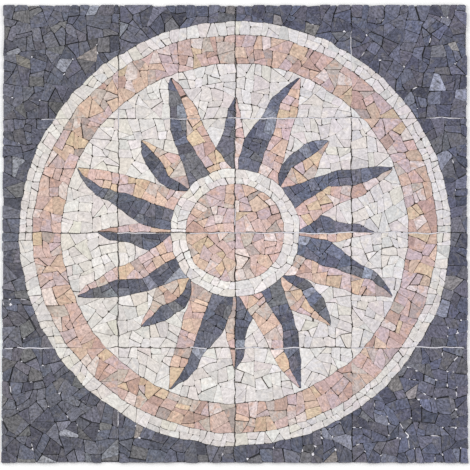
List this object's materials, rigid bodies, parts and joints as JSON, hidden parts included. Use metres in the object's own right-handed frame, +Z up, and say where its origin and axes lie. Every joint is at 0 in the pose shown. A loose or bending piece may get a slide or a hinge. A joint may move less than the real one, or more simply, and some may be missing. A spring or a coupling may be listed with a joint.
{
  "type": "mosaic panel",
  "caption": "Square net-backed mosaic panel of broken marble, with a sun of dark and pink rays in a pink band and cream rings on a slate-grey ground.",
  "frame": {"origin": "middle of the panel's underside", "axes": "+Z up out of the laid face, +Y towards the top of the picture, +X to its right"},
  "size_m": [1.2, 1.2, 0.01],
  "materials": {
    "slate_marble": "honed slate-grey marble with bluish, brownish and olive chips",
    "pink_marble": "honed salmon, peach, golden and mauve marble chips",
    "cream_marble": "honed ivory marble with pinkish and greyish chips",
    "backing_net": "white coated glass-fibre net, stiff with glue"
  },
  "bodies": {
    "root": {"border": "slate_marble", "outer_ring": "cream_marble", "band": "pink_marble", "field": "cream_marble", "core_ring": "cream_marble", "disc": "pink_marble", "long_ray_1_dark": "slate_marble", "long_ray_1_pink": "pink_marble", "long_ray_2_dark": "slate_marble", "long_ray_2_pink": "pink_marble", "long_ray_3_dark": "slate_marble", "long_ray_3_pink": "pink_marble", "long_ray_4_dark": "slate_marble", "long_ray_4_pink": "pink_marble", "long_ray_5_dark": "slate_marble", "long_ray_5_pink": "pink_marble", "long_ray_6_dark": "slate_marble", "long_ray_6_pink": "pink_marble", "long_ray_7_dark": "slate_marble", "long_ray_7_pink": "pink_marble", "long_ray_8_dark": "slate_marble", "long_ray_8_pink": "pink_marble", "short_ray_1_dark": "slate_marble", "short_ray_1_pink": "pink_marble", "short_ray_2_dark": "slate_marble", "short_ray_2_pink": "pink_marble", "short_ray_3_dark": "slate_marble", "short_ray_3_pink": "pink_marble", "short_ray_4_dark": "slate_marble", "short_ray_4_pink": "pink_marble", "short_ray_5_dark": "slate_marble", "short_ray_5_pink": "pink_marble", "short_ray_6_dark": "slate_marble", "short_ray_6_pink": "pink_marble", "short_ray_7_dark": "slate_marble", "short_ray_7_pink": "pink_marble", "short_ray_8_dark": "slate_marble", "short_ray_8_pink": "pink_marble", "net_row_1_column_1": "backing_net", "net_row_1_column_2": "backing_net", "net_row_1_column_3": "backing_net", "net_row_1_column_4": "backing_net", "net_row_2_column_1": "backing_net", "net_row_2_column_2": "backing_net", "net_row_2_column_3": "backing_net", "net_row_2_column_4": "backing_net", "net_row_3_column_1": "backing_net", "net_row_3_column_2": "backing_net", "net_row_3_column_3": "backing_net", "net_row_3_column_4": "backing_net", "net_row_4_column_1": "backing_net", "net_row_4_column_2": "backing_net", "net_row_4_column_3": "backing_net", "net_row_4_column_4": "backing_net"}
  },
  "joints": []
}
